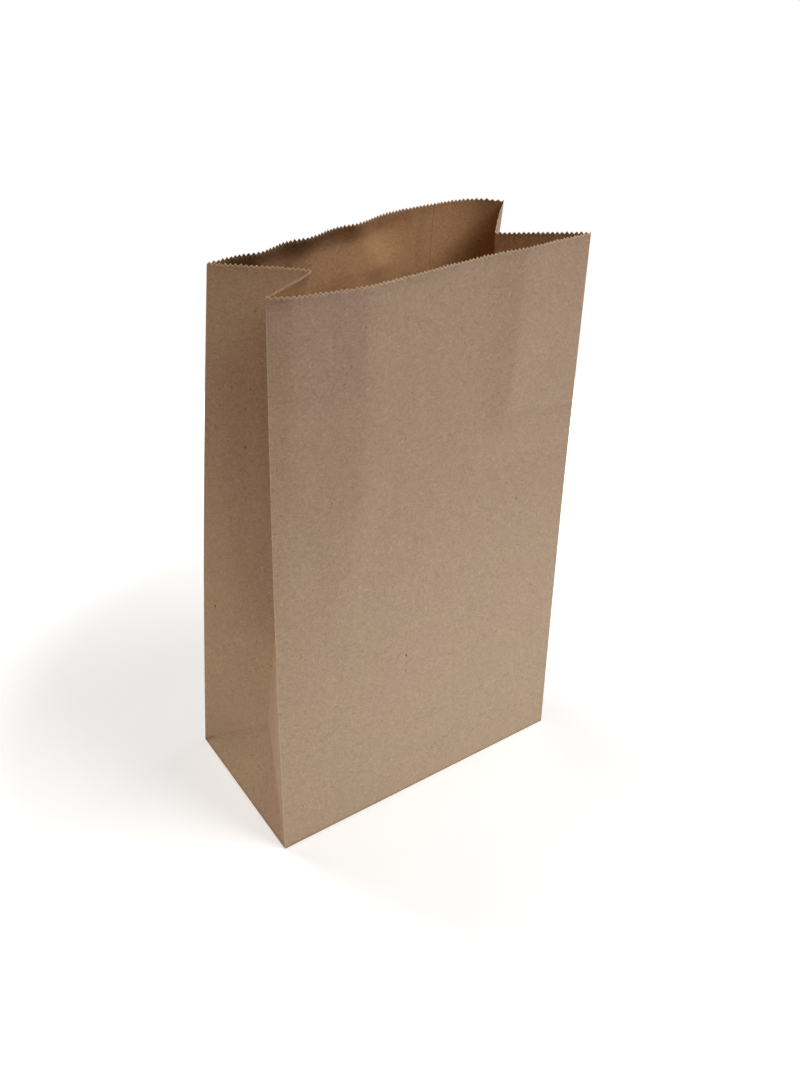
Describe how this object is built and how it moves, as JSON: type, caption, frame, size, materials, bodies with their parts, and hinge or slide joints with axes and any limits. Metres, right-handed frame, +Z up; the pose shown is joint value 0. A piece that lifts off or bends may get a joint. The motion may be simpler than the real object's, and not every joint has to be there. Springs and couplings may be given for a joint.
{
  "type": "paper bag",
  "caption": "Plain brown kraft block-bottom paper bag standing open, with folded-in side gussets and a serrated mouth.",
  "frame": {"origin": "on the ground, in the middle of the rectangular folded bottom", "axes": "+Z up to the mouth, X along the wide panels, -Y out of the front panel"},
  "size_m": [0.2215, 0.1121, 0.368],
  "materials": {
    "kraft_paper": "matt unbleached kraft, fine fibres and specks"
  },
  "bodies": {
    "root": {"paper_bag": "kraft_paper"}
  },
  "joints": []
}
